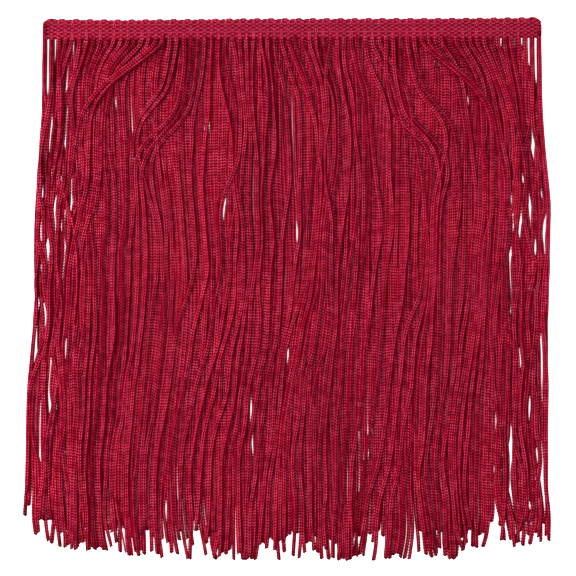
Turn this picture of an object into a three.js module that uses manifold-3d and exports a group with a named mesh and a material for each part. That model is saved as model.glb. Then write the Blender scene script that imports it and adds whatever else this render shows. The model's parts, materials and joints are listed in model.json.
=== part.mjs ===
import * as THREE from 'three';
import { mergeVertices } from 'three/addons/utils/BufferGeometryUtils.js';
import Module from 'manifold-3d';

const wasm = await Module();
wasm.setup();

// Chainette fringe trim, lying face up on a level surface, in millimetres.
// X runs along the heading, +Y from the strand tips to the heading and +Z up, off the surface.
// The origin is the middle of the heading's flat back.

// Heading: a narrow woven band, ribbed where the chainette cords pass up through it.
const pickCount = 72;
const pickPitch = 1.95;
const headingHeight = 5.6;
const headingThickness = 2.4;
const ribDepth = 0.45;
const headingRows = 3;
const edgeFall = 0.5;
const edgeSharpness = 4;
const scallopRise = 0.55;
const cornerFall = 1.1;
const cornerColumns = 2;

// Skirt: three layers of strands, one strand of each layer to a pick, a little aside of each other.
const pieceGap = 0.3;
const rootStripWidth = 1.1;
const rootStripThickness = 0.5;
const strandWidth = 1.2;
const strandThickness = 0.6;
const strandSteps = 7;
const skirtDepth = 148.8;
const raggedness = 8;
const layerPitch = strandThickness + pieceGap;
const layers = [
  { name: 'under', level: 0, aside: 0.3, phase: 0.35 },
  { name: 'middle', level: 1, aside: -0.3, phase: 0.0 },
  { name: 'over', level: 2, aside: 0, phase: 0.68 },
];

// The line of the tips: how much shorter the strands are at points along the heading.
const tipLine = [
  { root: -70, shorter: 11 },
  { root: -66, shorter: 4.5 },
  { root: -50, shorter: 2.4 },
  { root: -20, shorter: 0.4 },
  { root: 25, shorter: 0 },
  { root: 60, shorter: 2.2 },
  { root: 70, shorter: 4.8 },
];

// Sideways flows. Each one moves the strands rooted at root by under, middle or over, fading out along
// the heading over left and right, and grows from the depth start to the depth end.
const flows = [
  { root: -70, left: 9, right: 36, start: 3, end: 50, under: -2.3, middle: -2.4, over: -2.4 },
  { root: -70, left: 9, right: 36, start: 60, end: 125, under: -1.9, middle: -2.3, over: -2.3 },
  { root: 70, left: 36, right: 9, start: 3, end: 50, under: 2.2, middle: 2.4, over: 2.5 },
  { root: 70, left: 36, right: 9, start: 80, end: 125, under: -1.0, middle: -1.2, over: -0.9 },
  { root: -35, left: 36, right: 8, start: 3, end: 30, under: -0.5, middle: -3, over: -7.5 },
  { root: 35, left: 8, right: 36, start: 3, end: 30, under: 0.5, middle: 3, over: 7.5 },
  { root: -27, left: 8, right: 24, start: 25, end: 90, under: 0, middle: -1.2, over: -3 },
  { root: 27, left: 24, right: 8, start: 25, end: 90, under: 0, middle: 1.2, over: 3 },
  { root: -3, left: 16, right: 5, start: 3, end: 20, under: 0, middle: -1.2, over: -2.2 },
  { root: 3, left: 5, right: 16, start: 3, end: 20, under: 0, middle: 1.2, over: 2.2 },
];

// Waves that cross the skirt: size sideways, length along the heading and length down the strands.
const waves = [
  { size: 0.9, along: 62, down: 104, phase: 0.1 },
  { size: 0.35, along: 31, down: 66, phase: 0.55 },
];
const waveEase = 26;

// The cut ends splay a little, a few neighbours together.
const splaySize = 0.9;
const splayAlong = 21;
const splayDepth = 14;

const rootDepth = headingHeight / 2 + pieceGap;

const headingMaterial = new THREE.MeshStandardMaterial({
  name: 'woven_crimson_heading',
  color: new THREE.Color().setRGB(159 / 255, 28 / 255, 54 / 255, THREE.SRGBColorSpace),
  roughness: 0.62,
  metalness: 0,
});

const strandMaterial = new THREE.MeshStandardMaterial({
  name: 'crimson_chainette',
  color: new THREE.Color().setRGB(146 / 255, 18 / 255, 45 / 255, THREE.SRGBColorSpace),
  roughness: 0.5,
  metalness: 0,
});

function clamp01(value) {
  return Math.min(Math.max(value, 0), 1);
}

// A fixed scatter between 0 and 1 for a pair of whole numbers.
function scatter(first, second) {
  const value = Math.sin(first * 12.9898 + second * 78.233) * 43758.5453;
  return value - Math.floor(value);
}

function pickPlace(pick) {
  return (pick + 0.5 - pickCount / 2) * pickPitch;
}

// Straight lines between the rows of the tip line.
function tipShortening(root) {
  const next = tipLine.findIndex((row) => row.root >= root);
  if (next < 0) return tipLine.at(-1).shorter;
  if (next === 0) return tipLine[0].shorter;
  const low = tipLine[next - 1];
  const high = tipLine[next];
  return THREE.MathUtils.mapLinear(root, low.root, high.root, low.shorter, high.shorter);
}

function flowShift(layer, root, depth) {
  let shift = 0;
  for (const flow of flows) {
    const away = root - flow.root;
    const fade = clamp01(1 - Math.abs(away) / (away < 0 ? flow.left : flow.right));
    shift += flow[layer.name] * fade * THREE.MathUtils.smoothstep(depth, flow.start, flow.end);
  }
  return shift;
}

function waveShift(layer, root, depth) {
  let shift = 0;
  for (const wave of waves) {
    const turns = root / wave.along + depth / wave.down + wave.phase + layer.phase;
    shift += wave.size * Math.sin(2 * Math.PI * turns);
  }
  return shift * clamp01((depth - rootDepth) / waveEase);
}

// The middle line of one strand along its underside, with its stations closer at the root and the tip.
class StrandRoute extends THREE.Curve {
  constructor(layer, pick) {
    super();
    this.layer = layer;
    this.root = pickPlace(pick) + layer.aside;
    this.evenDepth = skirtDepth - tipShortening(this.root);
    this.tipDepth = this.evenDepth - raggedness * scatter(pick, layer.level + 1) ** 2;
    this.startDepth = rootDepth + rootStripWidth / 2;
  }

  getPoint(t) {
    const along = 0.5 - 0.5 * Math.cos(Math.PI * t);
    const depth = THREE.MathUtils.lerp(this.startDepth, this.tipDepth, along);
    const nearTip = clamp01((depth - this.evenDepth) / splayDepth + 1);
    const splay = splaySize * nearTip ** 2 *
      Math.sin(2 * Math.PI * (this.root / splayAlong + this.layer.phase));
    const x = this.root + flowShift(this.layer, this.root, depth) +
      waveShift(this.layer, this.root, depth) + splay;
    return new THREE.Vector3(x, -depth, 0);
  }

  getPointAt(t) {
    return this.getPoint(t);
  }

  // Each section faces straight down the skirt, so that the sides of a strand stay flat.
  getTangentAt() {
    return new THREE.Vector3(0, -1, 0);
  }
}

// Three-sided section of a strand: a flat underside and a ridged back.
// Along the route, the section's first coordinate points down and its second points sideways.
function strandSection() {
  return new THREE.Shape([
    new THREE.Vector2(0, -strandWidth / 2),
    new THREE.Vector2(0, strandWidth / 2),
    new THREE.Vector2(-strandThickness, 0),
  ]);
}

function strandGeometry(layer, pick) {
  return new THREE.ExtrudeGeometry(strandSection(), {
    steps: strandSteps,
    extrudePath: new StrandRoute(layer, pick),
  });
}

function rootStripGeometry() {
  const strip = new THREE.BoxGeometry(pickCount * pickPitch, rootStripWidth, rootStripThickness);
  return strip.translate(0, -rootDepth - rootStripWidth / 2, rootStripThickness / 2);
}

function toSolid(geometry) {
  geometry.deleteAttribute('normal');
  geometry.deleteAttribute('uv');
  const merged = mergeVertices(geometry, 1e-4);
  return new wasm.Manifold(new wasm.Mesh({
    numProp: 3,
    vertProperties: new Float32Array(merged.attributes.position.array),
    triVerts: new Uint32Array(merged.index.array),
  }));
}

function toGeometry(solid) {
  const mesh = solid.getMesh();
  const geometry = new THREE.BufferGeometry();
  geometry.setAttribute('position', new THREE.BufferAttribute(mesh.vertProperties, 3));
  geometry.setIndex(new THREE.BufferAttribute(mesh.triVerts, 1));
  geometry.computeVertexNormals();
  return geometry;
}

// One layer of strands, fused at the roots into its strip and apart from each other below it.
function layerGeometry(layer) {
  let solid = toSolid(rootStripGeometry());
  for (let pick = 0; pick < pickCount; pick += 1) {
    solid = solid.add(toSolid(strandGeometry(layer, pick)));
  }
  return toGeometry(solid);
}

// The heading: flat behind, a rib for each pick in front, a scallop for each pair of picks on top.
function headingGeometry() {
  const columns = 2 * pickCount;
  const geometry = new THREE.BoxGeometry(1, 2, 1, columns, headingRows, 1);
  const points = geometry.attributes.position;
  for (let i = 0; i < points.count; i += 1) {
    const column = Math.round((points.getX(i) + 0.5) * columns);
    const across = points.getY(i);
    const inFront = points.getZ(i) > 0;
    const groove = column % 2 === 0 ? ribDepth : 0;
    const scallop = 0.5 * scallopRise * (1 - Math.cos(Math.PI * column / 2));
    const fromEnd = Math.min(column, columns - column);
    const corner = cornerFall * clamp01(1 - fromEnd / cornerColumns) ** 2;
    const rise = across === 1 ? scallop - corner : 0;
    const front = headingThickness - groove - edgeFall * Math.abs(across) ** edgeSharpness;
    const x = (column / 2 - pickCount / 2) * pickPitch;
    points.setXYZ(i, x, across * headingHeight / 2 + rise, inFront ? front : 0);
  }
  geometry.computeVertexNormals();
  return geometry;
}

function namedMesh(name, geometry, material) {
  const mesh = new THREE.Mesh(geometry, material);
  mesh.name = name;
  return mesh;
}

const trim = new THREE.Group();
trim.add(namedMesh('heading', headingGeometry(), headingMaterial));
for (const layer of layers) {
  const skirt = namedMesh(`fringe_${layer.name}`, layerGeometry(layer), strandMaterial);
  skirt.position.z = layer.level * layerPitch;
  trim.add(skirt);
}

export default trim;
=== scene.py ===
"""Chainette fringe trim: a woven heading with a skirt of chained cords, laid flat on a pale floor."""

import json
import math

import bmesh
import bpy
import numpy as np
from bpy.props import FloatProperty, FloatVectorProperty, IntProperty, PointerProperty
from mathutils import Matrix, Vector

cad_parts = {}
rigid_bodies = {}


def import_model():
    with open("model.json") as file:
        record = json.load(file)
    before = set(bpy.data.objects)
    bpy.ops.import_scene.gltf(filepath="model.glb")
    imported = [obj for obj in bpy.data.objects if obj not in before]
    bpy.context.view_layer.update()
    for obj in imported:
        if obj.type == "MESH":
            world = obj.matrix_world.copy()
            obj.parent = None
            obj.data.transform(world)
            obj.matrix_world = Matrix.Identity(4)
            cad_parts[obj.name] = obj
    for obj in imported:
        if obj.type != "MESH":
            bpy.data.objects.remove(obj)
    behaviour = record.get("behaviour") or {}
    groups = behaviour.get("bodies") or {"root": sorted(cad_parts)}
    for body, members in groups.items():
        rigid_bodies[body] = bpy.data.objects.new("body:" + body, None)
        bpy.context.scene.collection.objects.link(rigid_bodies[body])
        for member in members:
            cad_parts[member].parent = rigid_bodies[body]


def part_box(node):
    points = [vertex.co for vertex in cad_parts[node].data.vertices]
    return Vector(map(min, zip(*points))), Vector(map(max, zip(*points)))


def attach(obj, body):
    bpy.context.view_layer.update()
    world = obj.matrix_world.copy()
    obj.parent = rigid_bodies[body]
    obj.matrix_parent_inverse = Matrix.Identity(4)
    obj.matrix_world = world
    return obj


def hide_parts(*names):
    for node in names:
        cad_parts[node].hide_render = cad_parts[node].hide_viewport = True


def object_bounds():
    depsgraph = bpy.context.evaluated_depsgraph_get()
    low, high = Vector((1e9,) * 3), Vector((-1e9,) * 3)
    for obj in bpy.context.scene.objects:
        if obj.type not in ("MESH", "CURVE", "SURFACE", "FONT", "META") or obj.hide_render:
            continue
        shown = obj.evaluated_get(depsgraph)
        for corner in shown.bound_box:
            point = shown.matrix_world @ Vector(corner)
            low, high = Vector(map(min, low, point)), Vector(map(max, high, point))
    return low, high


bl_info = {
    "name": "Chainette Fringe Trim",
    "version": (1, 0, 0),
    "blender": (4, 5, 0),
    "location": "3D View > Sidebar > Fringe",
    "description": "Builds the woven heading, the chained skirt and the stage of a fringe trim",
    "category": "Object",
}

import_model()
cad_low, cad_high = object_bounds()


def table(names, *rows):
    """Rows of values that go by the same names."""
    return [dict(zip(names.split(), row)) for row in rows]


MM = 0.001
LAYERS = ("under", "middle", "over")
heading_low, heading_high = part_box("heading")
heading_middle = (heading_low + heading_high) / 2
SKIRT_DEPTH = -cad_low.y
PICKS = 72
PICK_PITCH = (heading_high.x - heading_low.x) / PICKS

# Section of a chained cord seen along it: sideways place and height of each corner, as shares of
# half the width and half the thickness, and how far each corner lies down the cord, in stitches.
CORD_SECTION = table(
    "side height lag",
    (-1.0, -0.5, 0.0),
    (-0.55, 1.0, 0.32),
    (0.0, 0.5, 0.72),
    (0.55, 1.0, 0.32),
    (1.0, -0.5, 0.0),
)

# The groove between two stitches: its width and thickness as shares of the cord's.
GROOVE_SIDE = 0.84
GROOVE_HEIGHT = 0.54

# Copies of a stitch or a yarn are welded where they are this close, in millimetres.
WELD = 0.02

# Warp yarn of the heading: its sides, the rings in one over and one under, its section and how far
# it swings to the front and aside, in millimetres, and how flat and how long its floats are.
YARN_SIDES = 6
YARN_RINGS = 8
YARN_HEIGHT = 0.63
YARN_THICKNESS = 0.52
YARN_SWING = 0.27
YARN_SLANT = 0.03
CROWN_FLATNESS = 0.4
FLOAT_STRETCH = 0.15

# The floats slant further in the heading's middle, over a span that fades out towards both ends.
MIDDLE_SLANT = 0.13
SLANT_SPAN = 1.6
SLANT_FADE = 0.38

# The rows of yarns start a little below the heading's solid and leave room above for the cords' turns,
# in millimetres. The upper corners are rounded, and past the last pick all is drawn in and flattened.
ROWS_BELOW = 0.15
ROOM_ABOVE = 0.85
CORNER = 2.4
END_TUCK = 0.45
END_FLATTENING = 0.85

# Cords in the heading, in millimetres: how far inside its lower and upper edge they start and turn,
# how much lower and further back the ones between picks are, and how far the outermost turns rise and
# sink to cross. Then their points, and their first numbers, beyond those of the strands.
CORD_FOOT = 0.6
TURN_BELOW = 0.3
BETWEEN_BELOW = 0.1
BETWEEN_BACK = 0.2
END_RISE = 0.5
LEG_POINTS = 6
TURN_POINTS = 7
BETWEEN_POINTS = 5
FIRST_TURN = 400
FIRST_BETWEEN = 500

# How far the heading bends up at places along it, in millimetres.
BOW = table(
    "along up",
    (-70, 0.0),
    (-48, -0.25),
    (-10, 0.1),
    (40, 0.2),
    (70, 0.4),
)

# How the strands lean: around a place along the heading and a depth below it, over a reach sideways
# and a drop down, in millimetres, they move sideways by lean times the depth that they pass.
LEANS = table(
    "along depth reach drop lean",
    (-55, 8, 9, 9, -0.25),
    (-46, 7, 8, 9, -0.5),
    (-40, 10, 8, 8, -0.8),
    (-28, 16, 8, 9, -0.35),
    (-19, 19, 7, 9, 0.3),
    (2, 9, 8, 9, 0.25),
    (15, 15, 11, 10, 0.33),
    (28, 12, 8, 9, 0.35),
    (40, 7, 9, 8, 0.8),
    (50, 7, 8, 9, 0.45),
    (60, 14, 8, 14, 0.2),
    (-38, 27, 10, 8, -0.15),
    (-19, 41, 8, 9, -0.22),
    (-38, 45, 9, 8, 0.15),
    (40, 29, 10, 9, 0.15),
    (20, 34, 10, 9, 0.1),
    (-20, 86, 17, 23, -0.17),
    (17, 92, 19, 26, -0.1),
    (-48, 117, 14, 15, -0.11),
    (-24, 127, 10, 10, 0.12),
    (40, 132, 8, 9, 0.22),
    (20, 132, 8, 8, -0.18),
    (-68, 62, 9, 60, -0.05),
    (69, 35, 9, 30, 0.06),
    (54, 108, 5, 18, 0.06),
)

# For each of LAYERS, how far aside of a pick its cords start, in picks, at which height they start
# and are laid down, in millimetres, and how far they turn about their own length, in radians.
LAYER_PLANS = table(
    "aside height laid turn",
    (0.25, 0.45, 0.5, 0.2),
    (-0.25, 0.7, 0.9, 0.25),
    (0.0, 1.3, 2.0, 0.5),
)

# Over how many points a turn is smooth, and how far above the tips and by how much turns grow.
TURN_SMOOTH = 7
TIP_TURN_DEPTH = 30
MOST_TIP_TURN = 0.9

# The picks at both ends of the heading: how far aside their cords start, as a share of the others,
# and the depth down to which they hang straight.
END_PICKS = table(
    "from_end aside straight",
    (0, 0.0, 15),
    (1, 0.3, 15),
    (2, 0.45, 8),
    (3, 1.0, 0),
)

# Random sideways slopes, and the jitter in millimetres: the points that each is smooth over, its
# size, and its number of values across the skirt, where that isn't one for each strand.
WANDERING = {
    "own": {"smooth": 5, "size": 0.056},
    "fine": {"smooth": 1.6, "size": 0.07},
    "rim": {"smooth": 2.6, "size": 1.0},
    "group": {"smooth": 7, "size": 0.075, "across": 50},
    "sweep": {"smooth": 8, "size": 0.06, "across": 13},
    "jitter": {"smooth": 1.1, "size": 0.15},
}
SPREAD_REACH = 80

# How much of the leans the two lower layers take up, and how soon they return to even spacing.
BED = table(
    "depth follow back",
    (20, 0.2, 0.1),
    (70, 0.6, 0.06),
)

# Bundles of the over layer that cross the others, on both halves alike: the middle one of their
# picks, how many picks to each side, and their sideways shift outward by depth.
BUNDLES = table(
    "pick reach route",
    (16.5, 1.2, ((4, 0), (11, 8), (15, 14), (21, 19), (27, 21.5))),
    (18.7, 1.0, ((5, 0), (15, 2), (20, 3.5), (23, 7.5), (28, 10.5), (33, 11.5))),
    (21.0, 1.0, ((12, 0), (23, 1.5), (27, 3.5), (32, 9.5), (37, 12), (44, 12.5))),
)

# Outer edges of the skirt by depth. Strands rooted at EDGE_ROOT or beyond follow them fully, and
# those in the band inside it less and less.
EDGES = table(
    "depth left right",
    (6, -69.2, 69.2),
    (23, -69.5, 69.5),
    (34, -70.3, 70.3),
    (51, -71.7, 72.0),
    (84, -72.3, 71.2),
    (101, -73.7, 71.2),
    (129, -74.3, 71.0),
    (136, -74.9, 72.1),
    (145, -74.7, 72.0),
)
EDGE_ROOT = 70
EDGE_BAND = 20.0

# Narrow slits where the strands part and the floor shows: their middle, length and lean, and how
# wide they are clear at their middle.
SLITS = table(
    "along depth length lean",
    (-70.3, 66.2, 4.5, 0.0),
    (-68.9, 80.8, 7.0, 0.0),
    (-72.0, 91.0, 19.0, -0.06),
    (-63.3, 89.2, 8.0, -0.03),
    (-18.9, 49.5, 8.0, -0.2),
    (1.4, 57.3, 5.0, 0.0),
    (-1.1, 91.1, 6.0, 0.0),
    (-11.5, 106.3, 6.0, 0.0),
    (-11.1, 116.9, 6.0, 0.1),
    (-35.3, 134.3, 7.0, 0.0),
    (64.1, 93.7, 5.6, 0.0),
    (70.1, 95.0, 22.0, 0.0),
    (66.7, 106.0, 10.0, -0.03),
    (68.7, 119.8, 8.0, 0.05),
)
SLIT_WIDTH = 0.25

# Slits that both halves have alike: how far they lie from the heading's middle, depth and length.
SLIT_PAIRS = table(
    "outward depth length",
    (49.4, 20.6, 5.0),
    (67.9, 32.9, 4.2),
    (64.7, 41.9, 4.2),
    (70.0, 45.8, 3.0),
    (66.6, 50.3, 6.4),
    (61.6, 48.9, 3.0),
    (70.4, 56.6, 8.0),
    (68.2, 61.5, 6.7),
)

# The line of the tips: how much shorter the strands are at places along it.
TIP_LINE = table(
    "along shorter",
    (-75.6, 14.4),
    (-73.5, 9.1),
    (-70, 6.0),
    (-67, 4.1),
    (-62, 2.9),
    (-49, 2.7),
    (-46, 1.4),
    (-40, 1.3),
    (-38, 0.3),
    (25, 0.0),
    (46, 0.4),
    (49, 2.7),
    (64, 3.9),
    (71, 5.2),
)

# Colours in the cords' material: factors for dark and light parts, for the painted shade in the grooves
# and for the cut ends, and for the painted glints a factor and the light that they add. Then the middle
# of a cord's front, as a share of the turn around it, and the stitches at its end where it darkens.
CORD_MATERIAL = "crimson_chainette"
CORD_SHADES = (0.88, 1.85, 0.18, 0.3)
CORD_PAINTED_GLINT = (1.9, (0.42, 0.25, 0.4))
CORD_MIDDLE = 0.4
CORD_END = (-3.5, -0.5)

# The same for the warp yarns, whose painted glints fall on the crowns of their floats.
YARN_SHADES = (0.8, 1.1)
YARN_PAINTED_GLINT = (1.2, (0.04, 0.06, 0.09))

# Lamps around the trim's middle: place and size in metres, and their share of the key light's power.
LAMPS = table(
    "name offset size share",
    ("key", (-0.52, 0.1, 0.5), 0.45, 1.0),
    ("fill", (0.45, -0.1, 0.7), 0.7, 0.35),
)

# The photograph's frame on the trim's plane, and the camera's sensor and nearest view, in millimetres.
VIEW_MIDDLE = Vector((-1.12, -72.66, 1.2))
VIEW_WIDTH = 161.3
SENSOR_WIDTH = 36.0
CLIP_START = 10.0


# What the settings of small lengths share, and those of colours.
SMALL_LENGTH = {"min": 0.2 * MM, "unit": "LENGTH", "precision": 5}
COLOR = {"size": 3, "min": 0, "max": 1, "subtype": "COLOR"}


class TrimSettings(bpy.types.PropertyGroup):
    """Sizes and colours of the trim."""

    cord_width: FloatProperty(
        name="Cord width", description="Width of a chained cord seen face on",
        default=1.4 * MM, **SMALL_LENGTH,
    )
    cord_thickness: FloatProperty(
        name="Cord thickness", description="Thickness of a chained cord",
        default=0.84 * MM, **SMALL_LENGTH,
    )
    stitch_length: FloatProperty(
        name="Stitch length", description="Length of one chain stitch",
        default=0.807 * MM, **SMALL_LENGTH,
    )
    raggedness: FloatProperty(
        name="Raggedness", description="How much shorter the shortest strands are cut",
        default=8 * MM, min=0, unit="LENGTH", precision=5,
    )
    seed: IntProperty(name="Seed", description="Seed of the strands' scatter", default=11, min=0)
    cord_color: FloatVectorProperty(
        name="Cord colour", description="Colour of the chained cords",
        default=(0.27, 0.0, 0.0135), **COLOR,
    )
    yarn_rows: IntProperty(
        name="Warp yarns", description="Warp yarns in the heading",
        default=10, min=2,
    )
    yarn_color: FloatVectorProperty(
        name="Yarn colour", description="Colour of the heading's warp yarns",
        default=(0.262, 0.0, 0.0165), **COLOR,
    )


class StageSettings(bpy.types.PropertyGroup):
    """Floor, light and camera."""

    floor_size: FloatProperty(
        name="Floor size", description="Side of the square floor",
        default=3.0, min=0.5, unit="LENGTH",
    )
    floor_color: FloatVectorProperty(
        name="Floor colour", description="Colour of the pale floor",
        default=(0.93, 0.93, 0.93), **COLOR,
    )
    floor_glow: FloatProperty(
        name="Floor glow", description="Light that the floor gives off, as a light table does",
        default=1.1, min=0,
    )
    key_power: FloatProperty(
        name="Key light", description="Power of the key light in watts",
        default=9.5, min=0,
    )
    world_strength: FloatProperty(
        name="Sky light", description="Strength of the even light from all round",
        default=0.32, min=0,
    )
    lens: FloatProperty(
        name="Lens", description="Focal length of the camera in millimetres",
        default=100.0, min=10,
    )


def smooth_noise(random, steps, count, scale):
    """Noise of about unit size down each column, smooth over scale steps."""
    reach = int(3 * scale)
    kernel = np.exp(-0.5 * (np.arange(-reach, reach + 1) / scale) ** 2)
    raw = random.standard_normal((steps + 2 * reach, count))
    kernel /= math.sqrt((kernel ** 2).sum())
    return np.stack([np.convolve(raw[:, i], kernel, mode="valid") for i in range(count)], axis=1)


def column(rows, key):
    return [row[key] for row in rows]


def look_up(rows, key, place, value):
    """A value of a table at a place, on straight lines between its rows."""
    return np.interp(place, column(rows, key), column(rows, value))


def spread(values, x):
    """Values that stand evenly across the skirt, read at x in millimetres."""
    return np.interp(x, np.linspace(-SPREAD_REACH, SPREAD_REACH, len(values)), values)


def edge(side, depth):
    return look_up(EDGES, "depth", depth, side)


def pick_place(pick):
    return (pick + 0.5 - PICKS / 2) * PICK_PITCH + heading_middle.x


class SkirtLayout:
    """Where every strand of the skirt lies, in millimetres."""

    # Points of a strand: spacing, the first one's depth and scatter, how many stay in place, the
    # least room before the tip, and the one by which the tip line is read.
    STEP = 2.0
    START_DEPTH = 2.2
    START_SCATTER = 0.8
    PINNED = 2
    LAST_GAP = 0.4
    TIP_POINT = -5

    # Steps over which strands come down from the heading, and how far bundles lie above the rest.
    LAID_STEPS = 4
    BUNDLE_LIFT = 2.0
    BUNDLE_SCATTER = 0.04

    # Cut ends: how many neighbours are cut together at most, the share that end near the tip line,
    # and how much shorter these and the others are, in shares of the raggedness.
    CUT_TOGETHER = 4
    NEAR_LINE = 0.56
    LATE_CUT = 0.42
    EARLY_CUT = (0.5, 0.55)

    # Share of a bend in the spacing that is evened out, and the most bend that counts, by depth.
    EVENING_DEPTHS = (50, 80)
    EVENING = (0.2, 0.42)
    MOST_BEND = (0.5, 1.0)

    # How freely the over layer wanders, and the bed from the rim inward. Below the end picks' straight
    # part the slopes grow over a depth.
    RELEASE_DEPTH = 8
    OVER_LOOSE = 1.25
    BED_LOOSE = (0.7, 0.42)
    LOOSE_BAND = 8
    SWEEP_BAND = 12

    # The rim, near each side, where strands stack up and part: its breadth, the slopes in it, how
    # soon strands return to even places, and the gaps between them.
    RIM = 13.0
    RIM_OVER = 0.09
    RIM_OWN = 0.3
    RIM_BED = 0.03
    RIM_SWEPT = 0.5
    RIM_STACKED = 0.85
    RIM_RETURN = 0.25
    OVER_RETURN = 0.4
    RETURN_DEPTHS = (20, 45)
    EARLY_RETURN = 0.3
    RIM_GAP = 0.32
    OUTER_GAP = 0.15
    OUTER_DEPTHS = (70, 100)
    OUTER_PICKS = 2

    # Splay of the tips: slopes that neighbours share, their own, and the depth over which they grow.
    SPLAY_COUNT = 45
    SPLAY_SHARED = 0.16
    SPLAY_OWN = 0.12
    SPLAY_DEPTH = 10

    # Settling: how far strands sink in a round, how many neighbours they meet, how hard and far they
    # push, how stiff they are and how hard they hold to their places.
    SETTLE_ROUNDS = 400
    GRAVITY = 0.03
    NEIGHBOURS = 8
    PUSH = 0.42
    MOST_PUSH = 0.2
    NO_DISTANCE = 1e-4
    STIFFNESS = 0.35
    HOLD = 0.05
    OVER_HOLD = 0.02
    RIM_HOLD = 0.1
    SMOOTHING_ROUNDS = 2
    SMOOTHING = 0.25

    # Share of its width that a strand takes up among its neighbours, and at the rim.
    WIDTH = 0.82
    RIM_WIDTH = 0.62

    # Gaps: neighbours more than this share of a cord's width apart draw together, down to a depth,
    # and strands this close to a slit are kept off it.
    COVER = 0.78
    DRAW = 0.45
    WIDEST_GAP = 20
    LAST_CLOSED = 140.0
    CLOSING_FADE = 10
    SLIT_REACH = 3

    # Points beyond a cut end are put out of the way of all others.
    FAR_AWAY = 1e6
    FAR_APART = 10.0

    def __init__(self, settings):
        self.random = np.random.default_rng(settings.seed)
        self.cord = settings.cord_width / MM
        self.thickness = settings.cord_thickness / MM
        self.raggedness = settings.raggedness / MM
        self.steps = int((SKIRT_DEPTH / MM - self.START_DEPTH) / self.STEP) + 2
        self.depths = self.START_DEPTH + self.STEP * np.arange(self.steps)
        self.layer = np.tile(np.arange(len(LAYERS)), PICKS)
        self.over = self.layer == LAYERS.index("over")
        self.pick = np.repeat(np.arange(PICKS), len(LAYERS))
        self.count = len(self.layer)
        from_end = np.minimum(self.pick, PICKS - 1 - self.pick)
        aside = self.plan("aside") * look_up(END_PICKS, "from_end", from_end, "aside")
        self.aside = aside * PICK_PITCH / MM
        self.root = pick_place(self.pick) / MM + self.aside
        self.straight = look_up(END_PICKS, "from_end", from_end, "straight")
        self.rim = np.abs(self.root) > self.root.max() - self.RIM
        self.width = self.cord * np.where(self.rim, self.RIM_WIDTH, self.WIDTH)
        deep = np.interp(self.depths, self.OUTER_DEPTHS, (0, 1))[:, None]
        outer = self.OUTER_GAP * (deep * (from_end < self.OUTER_PICKS))
        self.parting = np.where(self.rim, self.RIM_GAP + outer, 0.0)
        self.cut = self.ragged_cut()
        self.tip = self.tip_depths(self.root)
        self.routes = self.bundle_routes()
        self.slits = self.slit_walls()
        self.x = self.march()
        self.tip = self.tip_depths(self.x[self.TIP_POINT])
        self.past_end = self.depths[:, None] > self.tip + self.STEP
        start = self.plan("height")
        laid = self.plan("laid") + self.BUNDLE_LIFT * np.isfinite(self.routes[0])
        ease = np.clip(np.arange(self.steps) / self.LAID_STEPS, 0, 1)[:, None]
        self.z = start + (laid - start) * ease
        self.settle()

    def plan(self, key):
        """A value of the layers' plans for each strand."""
        return np.array(column(LAYER_PLANS, key))[self.layer]

    def noise(self, kind):
        """Random values of one kind, smooth down the skirt."""
        row = WANDERING[kind]
        count = row.get("across", self.count)
        return smooth_noise(self.random, self.steps, count, row["smooth"]) * row["size"]

    def ragged_cut(self):
        """How much shorter each strand is cut than the tip line; a few neighbours are cut together."""
        cut = np.empty(self.count)
        least, more = self.EARLY_CUT
        for layer in range(len(LAYERS)):
            mine = np.flatnonzero(self.layer == layer)
            shared = self.random.random(len(mine))
            together = self.random.integers(1, self.CUT_TOGETHER + 1, len(mine))
            own = self.random.random(len(mine))
            early = np.repeat(shared, together)[: len(mine)] > self.NEAR_LINE
            cut[mine] = np.where(early, least + more * own, self.LATE_CUT * own ** 2)
        return cut * self.raggedness

    def tip_depths(self, x):
        """Depth of the cut ends of strands that come down at x."""
        return SKIRT_DEPTH / MM - look_up(TIP_LINE, "along", x, "shorter") - self.cut

    def bundle_routes(self):
        """Sideways slope of the bundles' strands by depth, and not a number for all the others."""
        slopes = np.full((self.steps, self.count), np.nan)
        for bundle in BUNDLES:
            depths, shifts = zip(*bundle["route"])
            slope = np.gradient(np.interp(self.depths, depths, shifts), self.STEP)
            slope = np.where(self.depths < depths[-1], slope, np.nan)
            slope[0] = 0
            for side, middle in ((-1, bundle["pick"]), (1, PICKS - 1 - bundle["pick"])):
                close = np.abs(self.pick - middle) <= bundle["reach"]
                mine = np.flatnonzero(close & self.over)
                scatter = self.random.normal(0, self.BUNDLE_SCATTER, len(mine))
                slopes[:, mine] = side * slope[:, None] + scatter
        return slopes

    def slit_walls(self):
        """Each slit's rows of points, its place there and how far it keeps strands off."""
        walls = []
        pairs = [
            {"along": side * row["outward"], "lean": 0.0, **row}
            for row in SLIT_PAIRS for side in (-1, 1)
        ]
        for slit in (*SLITS, *pairs):
            rows = np.flatnonzero(np.abs(self.depths - slit["depth"]) < slit["length"] / 2)
            past = self.depths[rows] - slit["depth"]
            inside = 1 - (2 * past / slit["length"]) ** 2
            clear = self.cord / 2 * np.sqrt(inside) + SLIT_WIDTH / 2 * inside
            walls.append((rows, slit["along"] + slit["lean"] * past, clear))
        return walls

    def in_order(self):
        """The strands' order along each row of points, and their places in that order."""
        far = self.FAR_AWAY + self.FAR_APART * np.arange(self.count)
        x = np.where(self.past_end, far, self.x)
        order = np.argsort(x, axis=1)
        return order, np.take_along_axis(x, order, 1)

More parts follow.
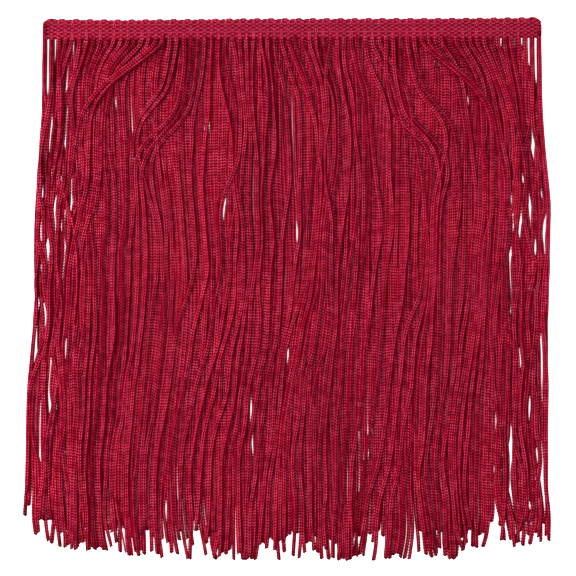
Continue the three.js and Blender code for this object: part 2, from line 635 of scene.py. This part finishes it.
    def close_gaps(self):
        """Draws neighbours together where too much of the floor shows, except close to the tips."""
        order, x = self.in_order()
        gap = np.diff(x, axis=1) - self.cord * self.COVER
        parting = np.take_along_axis(self.parting, order, 1)
        gap -= np.minimum(parting[:, :-1], parting[:, 1:])
        above = np.clip((self.LAST_CLOSED - self.depths[:, None]) / self.CLOSING_FADE, 0, 1)
        pull = np.where(gap < self.WIDEST_GAP, np.clip(gap, 0, 1), 0) * (above * self.DRAW)
        move = np.zeros_like(x)
        move[:, :-1] += pull
        move[:, 1:] -= pull
        shift = np.zeros_like(x)
        np.put_along_axis(shift, order, move, 1)
        self.x[self.PINNED:] += shift[self.PINNED:]

    def open_slits(self):
        """Keeps all strands off the slits, each on the side where it is."""
        for rows, places, clear in self.slits:
            past = self.x[rows] - places[:, None]
            side = np.where(past.mean(axis=0) < 0, -1, 1)
            near = np.abs(past).max(axis=0) < self.SLIT_REACH
            inside = (side * past < clear[:, None]) & near
            self.x[rows] = np.where(inside, places[:, None] + side * clear[:, None], self.x[rows])

    def lean(self, x, depth):
        """Sideways movement for each unit of depth, for strands at x."""
        total = np.zeros_like(x)
        for row in LEANS:
            aside, below = (x - row["along"]) / row["reach"], (depth - row["depth"]) / row["drop"]
            total += row["lean"] * np.exp(-(aside ** 2 + below ** 2))
        return total * np.where(self.over, 1.0, look_up(BED, "depth", depth, "follow"))

    def widen(self, depth, below):
        """How far the strands near both ends move outward between two depths."""
        outward = np.clip((np.abs(self.root) - EDGE_ROOT + EDGE_BAND) / EDGE_BAND, 0, 1)
        left, right = (edge(side, below) - edge(side, depth) for side in ("left", "right"))
        return np.where(self.root < 0, left, right) * outward

    def own_slopes(self, inward):
        """Slopes by which each strand wanders on its own, in long waves and in short ones."""
        band = (self.RIM, self.RIM + self.LOOSE_BAND)
        loose = np.where(self.over, self.OVER_LOOSE, np.interp(inward, band, self.BED_LOOSE))
        own = self.noise("own") * loose
        fine = self.noise("fine") * loose ** 0.5
        short = self.noise("rim")
        at_rim = np.where(self.over, self.RIM_OVER * short, self.RIM_OWN * own + self.RIM_BED * short)
        return np.where(self.rim, at_rim, own), fine

    def even_out(self, x, step):
        """Evens out the spacing of the free strands, in the bed and in the over layer."""
        evening = np.interp(self.depths[step], self.EVENING_DEPTHS, self.EVENING)
        most = np.interp(self.depths[step], self.EVENING_DEPTHS, self.MOST_BEND)
        free = np.isnan(self.routes[step]) & ~self.rim
        for level in (~self.over, self.over):
            mine = np.flatnonzero(free & level)
            mine = mine[np.argsort(x[mine])]
            row = x[mine]
            bend = np.zeros_like(row)
            bend[1:-1] = row[:-2] - 2 * row[1:-1] + row[2:]
            x[mine] = row + evening * np.clip(bend, -most, most)

    def march(self):
        """Sideways places of all strands, from the heading down."""
        inward = self.root.max() - np.abs(self.root)
        own, fine = self.own_slopes(inward)
        groups = self.noise("group")
        sweeps = self.noise("sweep")
        swept = np.interp(inward, (self.RIM, self.RIM + self.SWEEP_BAND), (self.RIM_SWEPT, 1))
        splay = spread(self.random.normal(0, self.SPLAY_SHARED, self.SPLAY_COUNT), self.root)
        splay += self.random.normal(0, self.SPLAY_OWN, self.count)
        released = np.clip((self.depths[:, None] - self.straight) / self.RELEASE_DEPTH, 0, 1)
        released = np.where(self.straight > 0, released, 1.0)
        bed = ~self.over & ~self.rim
        top = self.over & ~self.rim
        crossing = np.where(self.over, self.OVER_RETURN, 1)
        even = self.root - np.where(self.rim, self.RIM_STACKED * self.aside, 0)
        x = np.empty((self.steps, self.count))
        x[: self.PINNED] = self.root
        for step in range(self.PINNED, self.steps):
            here, depth = x[step - 1].copy(), self.depths[step]
            slope = self.lean(here, depth) + own[step] + fine[step]
            slope += spread(groups[step], here) * top
            slope += spread(sweeps[step], here) * swept
            slope += splay * np.clip((depth - self.tip + self.SPLAY_DEPTH) / self.SPLAY_DEPTH, 0, 1)
            slope = np.where(np.isnan(self.routes[step]), slope, self.routes[step]) * released[step]
            wider = self.widen(depth - self.STEP, depth)
            even += wider
            here[bed] += look_up(BED, "depth", depth, "back") * (even - here)[bed]
            growth = np.interp(depth, self.RETURN_DEPTHS, (self.EARLY_RETURN, 1))
            here += np.where(self.rim, self.RIM_RETURN * growth * crossing * (even - here), 0)
            self.even_out(here, step)
            x[step] = here + slope * self.STEP + wider
        jitter = self.noise("jitter")
        return x + np.where(self.rim & (self.depths[:, None] > self.straight), jitter, 0)

    def push_apart(self):
        """Moves strands that lie in each other apart, sideways and up or down."""
        order, xs = self.in_order()
        zs = np.take_along_axis(self.z, order, 1)
        widths = self.width[order]
        move_x = np.zeros_like(xs)
        move_z = np.zeros_like(zs)
        for k in range(1, self.NEIGHBOURS):
            width = (widths[:, k:] + widths[:, :-k]) / 2
            dx = (xs[:, k:] - xs[:, :-k]) / width
            dz = (zs[:, k:] - zs[:, :-k]) / self.thickness
            away = np.sqrt(dx ** 2 + dz ** 2) + self.NO_DISTANCE
            push = np.where(away < 1, self.PUSH * (1 - away) / away, 0)
            for move, part in ((move_x, dx * push * width), (move_z, dz * push * self.thickness)):
                move[:, k:] += part
                move[:, :-k] -= part
        for values, move in ((self.x, move_x), (self.z, move_z)):
            pushed = np.zeros_like(values)
            np.put_along_axis(pushed, order, move, 1)
            pushed[self.past_end] = 0
            values[self.PINNED:] += np.clip(pushed[self.PINNED:], -self.MOST_PUSH, self.MOST_PUSH)

    def settle(self):
        """Lets the strands sink onto the floor and each other, and spread where they are crowded."""
        wish = self.x.copy()
        floor = self.thickness / 2
        left, right = (edge(side, self.depths)[:, None] for side in ("left", "right"))
        hold = np.where(self.over, self.OVER_HOLD, self.HOLD)
        hold = np.where(self.rim, self.RIM_HOLD, hold)
        hold = np.where(self.depths[:, None] < self.straight, 1.0, hold)
        for _ in range(self.SETTLE_ROUNDS):
            self.z[self.PINNED:] -= self.GRAVITY
            self.push_apart()
            self.close_gaps()
            for values, base in ((self.x, wish), (self.z, 0)):
                moved = values - base
                middle = 0.5 * (moved[:-2] + moved[2:])
                moved[1:-1] += self.STIFFNESS * (middle - moved[1:-1])
                moved[-1] = moved[-2]
                values[self.PINNED:] = (moved + base)[self.PINNED:]
            self.x += hold * (wish - self.x)
            self.x[self.PINNED:] = np.clip(self.x, left, right)[self.PINNED:]
            self.open_slits()
            np.maximum(self.z, floor, out=self.z)
        self.push_apart()
        for _ in range(self.SMOOTHING_ROUNDS):
            for values in (self.x, self.z):
                bend = values[:-2] - 2 * values[1:-1] + values[2:]
                values[self.PINNED:-1] += self.SMOOTHING * bend[self.PINNED - 1:]
            self.open_slits()
        np.maximum(self.z, floor, out=self.z)

    def strand(self, number):
        """Points of one strand in metres, from the heading to its cut end."""
        tip = self.tip[number]
        depths = np.append(self.depths[self.depths < tip - self.LAST_GAP], tip)
        depths[0] -= self.random.uniform(0.0, self.START_SCATTER)
        x, z = (np.interp(depths, self.depths, values[:, number]) for values in (self.x, self.z))
        return np.stack([x, -depths, z], axis=1) * MM


def linked(name, data):
    """A new object in the scene."""
    made = bpy.data.objects.new(name, data)
    bpy.context.scene.collection.objects.link(made)
    return made


def finished_mesh(name, bm):
    mesh = bpy.data.meshes.new(name)
    bm.to_mesh(mesh)
    bm.free()
    return mesh


def extruded(bm, edges, places, along):
    """Extrudes a ring of edges and numbers its new corners like the ones below."""
    made = bmesh.ops.extrude_edge_only(bm, edges=edges)["geom"]
    ring = [item for item in made if isinstance(item, bmesh.types.BMVert)]
    fresh = set(ring)
    edges = [item for item in made if isinstance(item, bmesh.types.BMEdge) and fresh >= set(item.verts)]
    for vert in ring:
        below = next(e.other_vert(vert) for e in vert.link_edges if e.other_vert(vert) not in fresh)
        places[vert] = (places[below][0], along)
    return ring, edges


def write_uv(bm, uv, places, corners, number, first):
    """U is the yarn's number and the share of the turn around it, and V the place along it."""
    for face in bm.faces:
        wraps = {0, corners - 1} <= {places[loop.vert][0] for loop in face.loops}
        for loop in face.loops:
            corner, along = places[loop.vert]
            around = corners if wraps and corner == 0 else corner
            loop[uv].uv = (number + around / corners, first + along)


def chained_stitch(name, number, length, count, settings):
    """One stitch of a cord along +X. V counts the stitches from the cord's end, so it is negative."""
    bm = bmesh.new()
    uv = bm.loops.layers.uv.new("stitches")
    half_width, half_thickness = settings.cord_width / 2, settings.cord_thickness / 2
    ring = [
        bm.verts.new((c["lag"] * length, c["side"] * half_width, c["height"] * half_thickness))
        for c in CORD_SECTION
    ]
    edges = [bm.edges.new((ring[i - 1], ring[i])) for i in range(len(ring))]
    places = {vert: (corner, 0.0) for corner, vert in enumerate(ring)}
    groove = (0.5, GROOVE_SIDE, GROOVE_HEIGHT)
    end = (1.0, 1 / GROOVE_SIDE, 1 / GROOVE_HEIGHT)
    for along, side, height in (groove, end):
        ring, edges = extruded(bm, edges, places, along)
        bmesh.ops.translate(bm, verts=ring, vec=(length / 2, 0, 0))
        bmesh.ops.scale(bm, verts=ring, vec=(1, side, height))
    write_uv(bm, uv, places, len(CORD_SECTION), number, -count)
    return finished_mesh(name, bm)


def repeat(item, name, count, pitch):
    """Arrays an object along +X and welds the copies, with V running on from one to the next."""
    array = item.modifiers.new(name, "ARRAY")
    array.count = count
    array.use_relative_offset = False
    array.use_constant_offset = True
    array.constant_offset_displace = (pitch, 0, 0)
    array.use_merge_vertices = True
    array.merge_threshold = WELD * MM
    array.offset_v = 1.0


def route_length(points):
    """Length of the smooth curve that the points steer, from its chords and its control polygon."""
    middles = np.concatenate([points[:1], (points[1:] + points[:-1]) / 2, points[-1:]])
    steps = (np.diff(line, axis=0) for line in (middles, points))
    chords, polygon = (np.linalg.norm(step, axis=1).sum() for step in steps)
    return (2 * chords + polygon) / 3


def chained_cord(name, points, tilts, number, settings):
    """A cord and its route: one stitch, arrayed and bent along the points by modifiers."""
    length = route_length(points)
    count = max(2, round(length / settings.stitch_length))
    stitch = length / count
    curve = bpy.data.curves.new(name + "_route", "CURVE")
    curve.dimensions = "3D"
    curve.twist_mode = "Z_UP"
    curve.resolution_u = 3
    spline = curve.splines.new("NURBS")
    spline.points.add(len(points) - 1)
    spline.points.foreach_set("co", np.column_stack([points, np.ones(len(points))]).ravel())
    spline.points.foreach_set("tilt", tilts)
    spline.order_u = 3
    spline.use_endpoint_u = True
    route = linked(name + "_route", curve)
    cord = linked(name, chained_stitch(name, number, stitch, count, settings))
    repeat(cord, "stitches", count, stitch)
    bend = cord.modifiers.new("route", "CURVE")
    bend.object = route
    bend.deform_axis = "POS_X"
    return cord, route


def joined_piece(name, parts, material, node):
    """One piece from many live objects: evaluated, joined, closed at its ends and facing out."""
    bpy.context.view_layer.update()
    graph = bpy.context.evaluated_depsgraph_get()
    bm = bmesh.new()
    for part in parts:
        made = bpy.data.meshes.new_from_object(part.evaluated_get(graph), depsgraph=graph)
        bm.from_mesh(made)
        bpy.data.meshes.remove(made)
    open_edges = [edge for edge in bm.edges if edge.is_boundary]
    bmesh.ops.holes_fill(bm, edges=open_edges, sides=0)
    bmesh.ops.recalc_face_normals(bm, faces=bm.faces)
    for face in bm.faces:
        face.smooth = True
    mesh = finished_mesh(name, bm)
    mesh.materials.append(material)
    piece = linked(name, mesh)
    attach(piece, "root")
    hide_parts(node)
    return piece


def discard(objects):
    """Removes helper objects and their data."""
    bpy.data.batch_remove([*objects, *(item.data for item in objects)])


def cord_piece(name, made, settings, node):
    """One finished piece from cords and their routes, which are removed."""
    cords, routes = zip(*made)
    joined_piece(name, cords, chainette_material(settings), node)
    discard(cords + routes)


class Wire:
    """A socket of a material's node tree that can stand in Python sums."""

    def __init__(self, tree, socket=None):
        self.tree = tree
        self.socket = socket

    def node(self, kind, settings=None, inputs=None, output=0):
        """Adds a node: its settings first, then the values or links of its sockets."""
        made = self.tree.nodes.new(kind)
        for key, value in (settings or {}).items():
            setattr(made, key, value)
        for key, value in (inputs or {}).items():
            if isinstance(value, Wire):
                self.tree.links.new(value.socket, made.inputs[key])
            else:
                made.inputs[key].default_value = value
        return Wire(self.tree, made.outputs[output]) if len(made.outputs) else Wire(self.tree)

    def math(self, operation, *others):
        inputs = dict(enumerate((self, *others)))
        return self.node("ShaderNodeMath", {"operation": operation}, inputs)

    def __add__(self, other):
        return self.math("ADD", other)

    __radd__ = __add__

    def __sub__(self, other):
        return self.math("SUBTRACT", other)

    def __rsub__(self, other):
        return self.node("ShaderNodeMath", {"operation": "SUBTRACT"}, {0: other, 1: self})

    def __mul__(self, other):
        return self.math("MULTIPLY", other)

    __rmul__ = __mul__

    def __pow__(self, other):
        return self.math("POWER", other)

    def mix(self, first, second):
        """A colour between first and second, by this value."""
        return self.node(
            "ShaderNodeMix", {"data_type": "RGBA", "clamp_factor": True},
            {0: self, 6: first, 7: second}, output=2,
        )

    def step(self, low, high):
        """0 below low and 1 above high, smooth between."""
        return self.node(
            "ShaderNodeMapRange", {"interpolation_type": "SMOOTHSTEP"}, {0: self, 1: low, 2: high}
        )

    def wave(self):
        """1 at whole numbers and 0 halfway between them."""
        return (self * (2 * math.pi)).math("COSINE") * 0.5 + 0.5

    def joined(self, other):
        """A vector of this value and another one."""
        return self.node("ShaderNodeCombineXYZ", inputs={0: self, 1: other})

    def noise(self, scale, settings=None):
        """Soft noise over this vector."""
        return self.node("ShaderNodeTexNoise", settings, {0: self, "Scale": scale, "Detail": 2.0})

    def chance(self, kind, number):
        """A random value for each value of this one, which goes into the given input."""
        return self.node("ShaderNodeTexWhiteNoise", {"noise_dimensions": kind}, {number: self}, "Value")


def shade(color, factor, added=(0.0, 0.0, 0.0)):
    """A colour made lighter or darker, with some light added, and its alpha."""
    return (*[min(1.0, part * factor + light) for part, light in zip(color, added)], 1.0)


def new_material(name):
    material = bpy.data.materials.new(name)
    material.use_nodes = True
    material.node_tree.nodes.clear()
    return material, Wire(material.node_tree)


def stitch_places(wire):
    """The yarn's number, the place around it and the stitches along it, from the piece's UV map."""
    uv = wire.node("ShaderNodeUVMap", {"uv_map": "stitches"})
    sideways, along = (
        wire.node("ShaderNodeSeparateXYZ", inputs={0: uv}, output=axis) for axis in ("X", "Y")
    )
    return sideways.math("FLOOR"), sideways.math("FRACT"), along


def rayon(wire, color, roughness, height, strength, depth):
    """The surface of cords and yarns: a faint tinted gloss over fine relief."""
    bump = wire.node(
        "ShaderNodeBump", inputs={"Strength": strength, "Distance": depth * MM, "Height": height}
    )
    shader = wire.node("ShaderNodeBsdfPrincipled", inputs={
        "Base Color": color, "Roughness": roughness, "Normal": bump,
        "IOR": 1.3, "Specular IOR Level": 0.02, "Specular Tint": (1.0, 0.35, 0.45, 1.0),
    })
    wire.node("ShaderNodeOutputMaterial", inputs={0: shader})


def chainette_material(settings):
    """Chained rayon: painted highlights on the stitches' crowns, painted shade in the grooves, darker
    ends and uneven dye.
    """
    if CORD_MATERIAL in bpy.data.materials:
        return bpy.data.materials[CORD_MATERIAL]
    material, wire = new_material(CORD_MATERIAL)
    flat = {"noise_dimensions": "2D"}
    strand, around, along = stitch_places(wire)
    ridge = along.math("FRACT").wave()
    off_middle = (around - CORD_MIDDLE).math("ABSOLUTE")
    crown = off_middle.step(0.03, 0.16) - off_middle.step(0.2, 0.34)
    # Painted highlight: spots of glint on the crowns of the stitches, put into the colour.
    painted_glint_mask = (ridge * crown) ** 5.0
    by_strand = strand.chance("1D", 1)
    by_stitch = strand.joined(along.math("FLOOR")).chance("2D", 0)
    slow = (strand * 7.3).joined(along * 0.045).noise(1.0, flat)
    filaments = (around * 26).joined(along * 1.7).noise(1.0, flat)
    patches = wire.node("ShaderNodeTexCoord", output="Object").noise(45.0)
    uneven = by_strand * 0.45 + slow * 0.4 + patches * 0.7 + filaments * 0.2 + by_stitch * 0.7
    dark, light, groove, end = (shade(settings.cord_color, factor) for factor in CORD_SHADES)
    color = (uneven - 0.7).mix(dark, light)
    # Painted shade: the groove colour, darker in the grooves between stitches and away from the crowns.
    color = (1.08 - ridge * 0.9 - crown * 0.18).mix(color, groove)
    # Painted highlight: the glint colour mixed in on those spots, stronger on some stitches.
    painted_glint = shade(settings.cord_color, *CORD_PAINTED_GLINT)
    color = (painted_glint_mask * (by_stitch ** 1.5 * 0.8 + 0.1)).mix(color, painted_glint)
    color = (along.step(*CORD_END) * 0.45).mix(color, end)
    rayon(wire, color, 0.58 - ridge * 0.14, filaments + ridge * 0.6, 0.35, 0.05)
    return material


def yarn_material(settings):
    """Warp yarn of the heading: twisted filaments, with a painted highlight on the crowns of the
    floats.
    """
    material, wire = new_material("crimson_warp_yarn")
    row, around, along = stitch_places(wire)
    thread = (around * 5 + along * 4).math("FRACT").wave()
    patch = (row * 3.7).joined(along * 0.9).noise(1.0, {"noise_dimensions": "2D"})
    dark, light = (shade(settings.yarn_color, factor) for factor in YARN_SHADES)
    color = (thread * 0.2 + patch * 0.8).step(0.1, 0.9).mix(dark, light)
    # Painted highlight: the glint colour mixed in on the crown of each float.
    painted_glint = shade(settings.yarn_color, *YARN_PAINTED_GLINT)
    color = ((along.wave() ** 3.0) * 0.45).mix(color, painted_glint)
    rayon(wire, color, 0.66 - thread * 0.12, thread, 0.4, 0.04)
    return material


def row_pitch(rows):
    return (heading_high.y - heading_low.y - (ROOM_ABOVE - ROWS_BELOW) * MM) / rows


def yarn_path(turn):
    """Sideways and front-to-back place of a warp yarn, by its turn through one over and one under."""
    wave = math.cos(2 * math.pi * (turn - FLOAT_STRETCH * math.sin(2 * math.pi * turn)))
    lift = math.copysign(abs(wave) ** CROWN_FLATNESS, wave) * YARN_SWING
    return YARN_SLANT * math.sin(2 * math.pi * turn), lift


def yarn_period(name, row):
    """One over and one under of a warp yarn along +X, starting at the top of its float."""
    bm = bmesh.new()
    uv = bm.loops.layers.uv.new("stitches")
    ring = bmesh.ops.create_circle(bm, segments=YARN_SIDES, radius=0.5)["verts"]
    bmesh.ops.transform(bm, matrix=Matrix.Rotation(math.radians(90), 4, "Y"), verts=ring)
    bmesh.ops.scale(bm, verts=ring, vec=(1, YARN_HEIGHT * MM, YARN_THICKNESS * MM))
    aside, lift = yarn_path(0)
    bmesh.ops.translate(bm, verts=ring, vec=(0, aside * MM, lift * MM))
    edges = list(bm.edges)
    places = {vert: (side, 0.0) for side, vert in enumerate(ring)}
    for step in range(1, YARN_RINGS + 1):
        ring, edges = extruded(bm, edges, places, step / YARN_RINGS)
        new_aside, new_lift = yarn_path(step / YARN_RINGS)
        shift = (PICK_PITCH / YARN_RINGS, (new_aside - aside) * MM, (new_lift - lift) * MM)
        bmesh.ops.translate(bm, verts=ring, vec=shift)
        aside, lift = new_aside, new_lift
    write_uv(bm, uv, places, YARN_SIDES, row, 0)
    return finished_mesh(name, bm)


def warp_yarn(row, rows):
    """One warp yarn across the whole heading, in step with every second yarn."""
    height = heading_low.y - ROWS_BELOW * MM + (row + 0.5) * row_pitch(rows)
    late = row % 2
    name = f"warp_yarn_{row}"
    yarn = linked(name, yarn_period(name, row))
    start = heading_low.x + (0.0 if late else 0.5) * PICK_PITCH
    yarn.data.transform(Matrix.Translation((start, height, heading_middle.z)))
    repeat(yarn, "picks", PICKS - 1 + late, PICK_PITCH)
    return yarn


def bow(x):
    """How far the heading bends up or down at places along it."""
    return np.interp(x, np.array(column(BOW, "along")) * MM, column(BOW, "up")) * MM


def finish_weave(piece, rows):
    """Bends the weave, slants its middle floats, tucks its ends in and rounds its upper corners."""
    mesh = piece.data
    places = np.empty(3 * len(mesh.vertices))
    mesh.vertices.foreach_get("co", places)
    x, y, z = places.reshape(-1, 3).T.copy()
    row = np.clip(np.floor((y - heading_low.y + ROWS_BELOW * MM) / row_pitch(rows)), 0, rows - 1)
    turn = (x - heading_low.x) / PICK_PITCH + 0.5 * (row + 1)
    end = heading_high.x - PICK_PITCH / 2
    middle = np.clip(SLANT_SPAN - np.abs(x) / (SLANT_FADE * end), 0, 1)
    y += MIDDLE_SLANT * MM * middle * np.sin(2 * math.pi * turn)
    beyond = np.clip(np.abs(x) - end, 0, None)
    tucked = np.clip(beyond / (PICK_PITCH / 2), 0, 1)
    x = np.sign(x) * (np.abs(x) - END_TUCK * beyond)
    z = heading_middle.z + (z - heading_middle.z) * (1 - END_FLATTENING * tucked ** 2)
    from_end = np.clip(end + PICK_PITCH / 2 - np.abs(x), 0, CORNER * MM)
    corner = CORNER * MM - np.sqrt(from_end * (2 * CORNER * MM - from_end))
    share = (y - heading_low.y) / (heading_high.y - heading_low.y)
    y += bow(x) - corner * np.clip(share, 0, 1)
    mesh.vertices.foreach_set("co", np.stack([x, y, z], axis=1).ravel())
    mesh.update()


def hairpin_points(first, second, top, levels):
    """A cord that goes up one pick, turns over the heading's top edge and comes down the next."""
    radius = (second - first) / 2
    foot = heading_low.y + CORD_FOOT * MM
    angles = np.linspace(0, math.pi, TURN_POINTS + 2)[1:-1]
    over = first + radius * (1 - np.cos(angles))
    x = np.concatenate([np.full(LEG_POINTS, first), over, np.full(LEG_POINTS, second)])
    leg = foot + (top - radius - foot) * np.linspace(0, 1, LEG_POINTS)
    y = np.concatenate([leg, top - radius + radius * np.sin(angles), leg[::-1]])
    return np.stack([x, y + bow(x), np.interp(x, (first, second), levels)], axis=1)


def turn_cord(pair, top, settings):
    """The cord that turns over two picks. At both ends of the heading it crosses its neighbour."""
    level, rise = heading_middle.z, END_RISE * MM
    ends = [2 * pair, 2 * pair + 1]
    levels = [level, level]
    if pair == 0:
        ends[1] += 1
        levels = [level + rise, level - rise]
    elif pair == PICKS // 2 - 1:
        ends[0] -= 1
        levels = [level - rise, level + rise]
    points = hairpin_points(pick_place(ends[0]), pick_place(ends[1]), top, levels)
    return chained_cord(f"turn_{pair}", points, np.zeros(len(points)), FIRST_TURN + pair, settings)


def between_cord(pick, top, settings):
    """A straight cord behind the weave, halfway between a pick and the next."""
    middle = pick_place(pick + 0.5)
    level = heading_middle.z - BETWEEN_BACK * MM
    steps = np.linspace(heading_low.y + CORD_FOOT * MM, top - BETWEEN_BELOW * MM, BETWEEN_POINTS)
    points = np.array([(middle, step + bow(middle), level) for step in steps])
    tilts = np.zeros(len(points))
    return chained_cord(f"between_{pick}", points, tilts, FIRST_BETWEEN + pick, settings)


class TRIM_OT_heading(bpy.types.Operator):
    """Weaves the heading: warp yarns over the cords, which turn over its top edge"""

    bl_idname = "trim.heading"
    bl_label = "Heading"

    def execute(self, context):
        settings = context.scene.trim
        rows = settings.yarn_rows
        yarns = [warp_yarn(row, rows) for row in range(rows)]
        material = yarn_material(settings)
        finish_weave(joined_piece("heading_warp", yarns, material, "heading"), rows)
        discard(yarns)
        top = heading_high.y - settings.cord_width / 2 - TURN_BELOW * MM
        made = [turn_cord(pair, top, settings) for pair in range(PICKS // 2)]
        made += [between_cord(pick, top, settings) for pick in range(PICKS - 1)]
        cord_piece("heading_cords", made, settings, "heading")
        return {"FINISHED"}


def cord_turns(layout, seed):
    """How far each strand turns about its own length in radians, and further towards its tip."""
    random = np.random.default_rng(seed)
    turns = smooth_noise(random, layout.steps, layout.count, TURN_SMOOTH) * layout.plan("turn")
    near_tip = np.clip(1 - (layout.tip - layout.depths[:, None]) / TIP_TURN_DEPTH, 0, 1)
    way = random.choice([-1.0, 1.0], layout.count)
    return turns + near_tip * way * random.uniform(0.0, MOST_TIP_TURN, layout.count)


def strand_cord(layout, turns, number, settings):
    """A strand of the skirt, raised where it turns so that its lower corners stay above the floor."""
    points = layout.strand(number)
    turns = turns[: len(points), number]
    room = settings.cord_width / 2 * np.sin(np.abs(turns))
    room += settings.cord_thickness / 4 * np.cos(turns)
    points[:, 2] = np.maximum(points[:, 2], room)
    return chained_cord(f"strand_{number}", points, turns, number, settings)


class TRIM_OT_skirt(bpy.types.Operator):
    """Lays the chained strands of the skirt, one piece for each half of a layer"""

    bl_idname = "trim.skirt"
    bl_label = "Skirt"

    def execute(self, context):
        settings = context.scene.trim
        layout = SkirtLayout(settings)
        turns = cord_turns(layout, settings.seed + 1)
        for layer, name in enumerate(LAYERS):
            for half in ("left", "right"):
                inside = (layout.pick < PICKS / 2) == (half == "left")
                mine = np.flatnonzero((layout.layer == layer) & inside)
                made = [strand_cord(layout, turns, int(number), settings) for number in mine]
                cord_piece(f"skirt_{name}_{half}", made, settings, f"fringe_{name}")
        return {"FINISHED"}


class TRIM_OT_stage(bpy.types.Operator):
    """Sets a pale floor, soft light and a camera straight above the trim"""

    bl_idname = "trim.stage"
    bl_label = "Stage"

    def execute(self, context):
        stage = context.scene.trim_stage
        bm = bmesh.new()
        bmesh.ops.create_grid(bm, x_segments=1, y_segments=1, size=stage.floor_size / 2)
        floor = linked("floor", finished_mesh("floor", bm))
        floor.data.materials.append(floor_material(stage))
        add_lights(context, stage)
        add_camera(context, stage)
        return {"FINISHED"}


def floor_material(stage):
    """Plain matt white paper, lit a little from within."""
    material, wire = new_material("pale_floor")
    grain = wire.node("ShaderNodeTexCoord", output="Object").noise(900.0)
    color = grain.mix(shade(stage.floor_color, 0.985), shade(stage.floor_color, 1.0))
    shader = wire.node("ShaderNodeBsdfPrincipled", inputs={
        "Base Color": color, "Roughness": 0.9, "Specular IOR Level": 0.1,
        "Emission Color": color, "Emission Strength": stage.floor_glow,
    })
    wire.node("ShaderNodeOutputMaterial", inputs={0: shader})
    return material


def add_lights(context, stage):
    """A broad key light from the left, a weaker fill from the right, and even light all round."""
    middle = (cad_low + cad_high) / 2
    for row in LAMPS:
        light = bpy.data.lights.new(row["name"], "AREA")
        light.energy = stage.key_power * row["share"]
        light.size = row["size"]
        offset = Vector(row["offset"])
        lamp = linked(row["name"], light)
        lamp.location = middle + offset
        lamp.rotation_euler = (-offset).to_track_quat("-Z", "Y").to_euler()
    world = bpy.data.worlds.new("sky")
    world.use_nodes = True
    background = world.node_tree.nodes["Background"]
    background.inputs["Color"].default_value = (1, 1, 1, 1)
    background.inputs["Strength"].default_value = stage.world_strength
    context.scene.world = world
    context.scene.view_settings.view_transform = "Standard"


def add_camera(context, stage):
    """Looks straight down on the trim, with its heading at the top."""
    camera = bpy.data.cameras.new("camera")
    camera.lens = stage.lens
    camera.sensor_width = SENSOR_WIDTH
    camera.clip_start = CLIP_START * MM
    holder = linked("camera", camera)
    distance = VIEW_WIDTH * MM * stage.lens / camera.sensor_width
    holder.location = VIEW_MIDDLE * MM + Vector((0, 0, distance))
    context.scene.camera = holder


class TRIM_PT_panel(bpy.types.Panel):
    """Shows the trim's settings and the buttons that build its pieces"""

    bl_idname = "TRIM_PT_panel"
    bl_label = "Chainette Fringe"
    bl_space_type = "VIEW_3D"
    bl_region_type = "UI"
    bl_category = "Fringe"

    def draw(self, context):
        for group in (context.scene.trim, context.scene.trim_stage):
            box = self.layout.box()
            for name in group.__annotations__:
                box.prop(group, name)
        for operator in (TRIM_OT_skirt, TRIM_OT_heading, TRIM_OT_stage):
            self.layout.operator(operator.bl_idname)


CLASSES = (TrimSettings, StageSettings, TRIM_OT_skirt, TRIM_OT_heading, TRIM_OT_stage, TRIM_PT_panel)


def register():
    for item in CLASSES:
        bpy.utils.register_class(item)
    bpy.types.Scene.trim = PointerProperty(type=TrimSettings)
    bpy.types.Scene.trim_stage = PointerProperty(type=StageSettings)


def unregister():
    del bpy.types.Scene.trim_stage
    del bpy.types.Scene.trim
    for item in reversed(CLASSES):
        bpy.utils.unregister_class(item)


def main():
    register()
    bpy.ops.trim.skirt()
    bpy.ops.trim.heading()
    bpy.ops.trim.stage()


if __name__ == "__main__":
    main()
